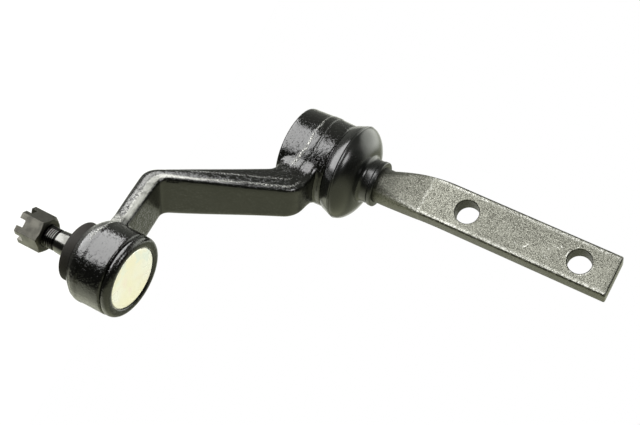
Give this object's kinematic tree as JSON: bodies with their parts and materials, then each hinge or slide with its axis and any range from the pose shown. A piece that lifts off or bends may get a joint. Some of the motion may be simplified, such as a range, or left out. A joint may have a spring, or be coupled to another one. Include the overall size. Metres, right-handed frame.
{
  "type": "idler arm",
  "caption": "Forged dropped arm with a ball stud in a crimped housing at one end and a rubber-booted pivot shaft at the other, whose flat tang bolts to a frame",
  "frame": {"origin": "on the tang's mounting face, midway between its two bolt holes", "axes": "+Y is the mounting face's outward normal, +Z runs along the pivot axis from the ball stud towards the tang's end, +X completes the right-handed frame; the arm points to +X and -Y"},
  "size_m": [0.1755, 0.1203, 0.2929],
  "materials": {
    "forged_steel": "bare shot-blasted forging scale, olive grey, fine grain",
    "black_paint": "gloss black paint over a pitted forged skin",
    "ground_steel": "ground and rolled steel, lightly oiled",
    "phosphate": "dark phosphate coating",
    "zinc_plate": "pale gold passivated zinc with a faint colour film",
    "seal_rubber": "matte brown-black rubber",
    "boot_rubber": "satin black rubber",
    "seat_polymer": "natural bearing plastic",
    "spring_steel": "dark hardened steel"
  },
  "bodies": {
    "bracket_body": {"bracket": "forged_steel", "shaft_nut": "spring_steel", "nut_washer": "spring_steel", "upper_disc_spring": "spring_steel", "lower_disc_spring": "spring_steel"},
    "arm_body": {"idler_arm": "black_paint", "upper_bush": "seat_polymer", "lower_bush": "seat_polymer", "upper_thrust_washer": "seat_polymer", "lower_thrust_washer": "seat_polymer", "shaft_seal_ring": "seal_rubber", "end_plug": "black_paint", "pivot_boot": "boot_rubber", "cover_plate": "zinc_plate", "lower_ball_seat": "seat_polymer", "ball_seat_spring": "spring_steel"},
    "seat_body": {"pressure_seat": "seat_polymer"},
    "seal_body": {"stud_dust_seal": "seal_rubber"},
    "stud_body": {"ball_stud": "ground_steel", "castle_nut": "phosphate"}
  },
  "joints": [
    {"name": "arm_swing", "type": "hinge", "parent": "bracket_body", "child": "arm_body", "pos_m": [0.0043, -0.00635, -0.1471], "axis": [0, 0, 1], "continuous": true},
    {"name": "seat_swivel", "type": "hinge", "parent": "arm_body", "child": "seat_body", "pos_m": [0.12614, -0.07305, -0.183], "axis": [0, 0, 1], "continuous": true},
    {"name": "stud_tilt", "type": "hinge", "parent": "seat_body", "child": "seal_body", "pos_m": [0.12614, -0.07305, -0.183], "axis": [1, 0, 0], "range_deg": [-15, 15], "deforming": ["stud_dust_seal"]},
    {"name": "stud_spin", "type": "hinge", "parent": "seal_body", "child": "stud_body", "pos_m": [0.12614, -0.07305, -0.183], "axis": [0, 0, 1], "continuous": true}
  ]
}
